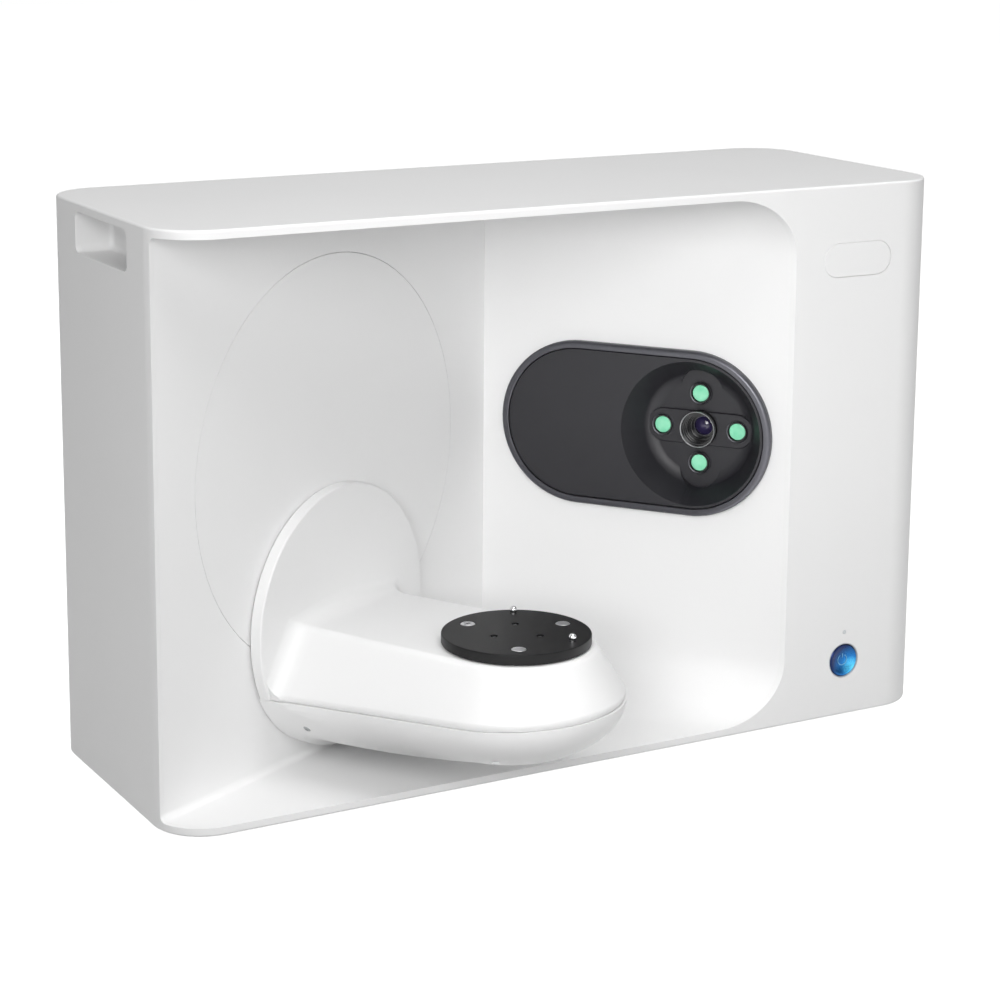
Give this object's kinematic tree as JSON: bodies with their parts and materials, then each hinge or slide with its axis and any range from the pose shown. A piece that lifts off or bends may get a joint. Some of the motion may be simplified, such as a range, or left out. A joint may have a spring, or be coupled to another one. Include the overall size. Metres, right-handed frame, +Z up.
{
  "type": "desktop 3d scanner",
  "caption": "White desktop scanner with an open V-shaped bay, a swinging disc and arm carrying a turntable, and an oval camera pod facing it.",
  "frame": {"origin": "centre of the whole outline in plan, on the surface that the rubber feet stand on", "axes": "+Z up, -Y towards the open front, +X to the right seen from the front"},
  "size_m": [0.505, 0.271, 0.34],
  "materials": {
    "white_shell": "satin white moulding",
    "dark_plastic": "satin charcoal moulding",
    "black_plastic": "satin black",
    "rim_metal": "dark anodised",
    "steel": "plain",
    "aluminium": "plain",
    "chrome": "polished",
    "blue_metal": "glossy blue",
    "green_glass": "green coated",
    "lens_glass": "dark coated",
    "board": "green laminate",
    "rubber": "matt",
    "light_pipe": "clear white"
  },
  "bodies": {
    "housing": {"outer_casing": "white_shell", "bay_floor": "white_shell", "bay_ceiling": "white_shell", "bay_left_wall": "white_shell", "bay_right_wall": "white_shell", "rear_cover": "white_shell", "left_handle_cup": "white_shell", "right_handle_cup": "white_shell", "foot_front_left": "rubber", "foot_front_right": "rubber", "foot_back_left": "rubber", "foot_back_right": "rubber", "button_ring": "black_plastic", "button_spring": "steel", "pilot_light": "light_pipe", "oval_plate": "white_shell", "mains_inlet": "black_plastic", "data_socket": "steel", "fan_frame": "black_plastic", "main_board": "board", "power_supply": "steel", "swing_bearing": "steel", "swing_frame": "steel", "swing_motor": "steel", "pod_rim": "rim_metal", "pod_face": "dark_plastic", "camera_top": "black_plastic", "camera_bottom": "black_plastic", "camera_left": "black_plastic", "camera_right": "black_plastic", "camera_window_top": "green_glass", "camera_window_bottom": "green_glass", "camera_window_left": "green_glass", "camera_window_right": "green_glass", "camera_bracket": "aluminium", "projector_ring": "chrome", "projector_barrel": "black_plastic", "projector_lens": "lens_glass", "projector_engine": "black_plastic"},
    "disc": {"swing_disc": "white_shell", "swing_gear": "steel", "lift_motor": "steel", "lift_bearing": "steel"},
    "arm": {"lift_shaft": "steel", "arm_upper_shell": "white_shell", "arm_lower_shell": "white_shell", "arm_beam": "aluminium", "table_motor": "steel", "table_bearing": "steel"},
    "table": {"turntable": "black_plastic", "locating_pin_a": "chrome", "locating_pin_b": "chrome", "table_insert_a": "chrome", "table_insert_b": "chrome", "table_insert_c": "chrome"},
    "swing_drive": {"swing_pinion": "steel"},
    "lift_drive": {"lift_pinion": "steel"},
    "button": {"power_button": "blue_metal"},
    "rocker": {"rocker_switch": "black_plastic"},
    "rotor": {"fan_rotor": "black_plastic"}
  },
  "joints": [
    {"name": "swing", "type": "hinge", "parent": "housing", "child": "disc", "pos_m": [-0.11504, 0.04155, 0.187], "axis": [-0.4509, 0.8926, 0], "range_deg": [-50, 50]},
    {"name": "lift", "type": "hinge", "parent": "disc", "child": "arm", "pos_m": [-0.11504, 0.04155, 0.0957], "axis": [-0.4509, 0.8926, 0], "range_deg": [-80, 80]},
    {"name": "table_turn", "type": "hinge", "parent": "arm", "child": "table", "pos_m": [-0.05688, -0.0736, 0.1067], "axis": [0, 0, 1], "continuous": true},
    {"name": "swing_pinion_spin", "type": "hinge", "parent": "housing", "child": "swing_drive", "pos_m": [-0.11504, 0.04155, 0.252], "axis": [-0.4509, 0.8926, 0], "range_deg": [-285, 285]},
    {"name": "lift_pinion_spin", "type": "hinge", "parent": "disc", "child": "lift_drive", "pos_m": [-0.11504, 0.04155, 0.1407], "axis": [-0.4509, 0.8926, 0], "range_deg": [-285, 285]},
    {"name": "button_press", "type": "slide", "parent": "housing", "child": "button", "axis": [0, 1, 0], "range_m": [0, 0.0015], "stiffness_N_per_m": 400, "springref_m": -0.001},
    {"name": "rocker_tilt", "type": "hinge", "parent": "housing", "child": "rocker", "pos_m": [0.1675, 0.13001, 0.046], "axis": [1, 0, 0], "range_deg": [-8, 8]},
    {"name": "fan_spin", "type": "hinge", "parent": "housing", "child": "rotor", "pos_m": [0.1775, 0.1255, 0.115], "axis": [0, 1, 0], "continuous": true}
  ],
  "couplings": [
    {"joint": "swing_pinion_spin", "follows": "swing", "ratio": -5.5},
    {"joint": "lift_pinion_spin", "follows": "lift", "ratio": -3.5}
  ]
}
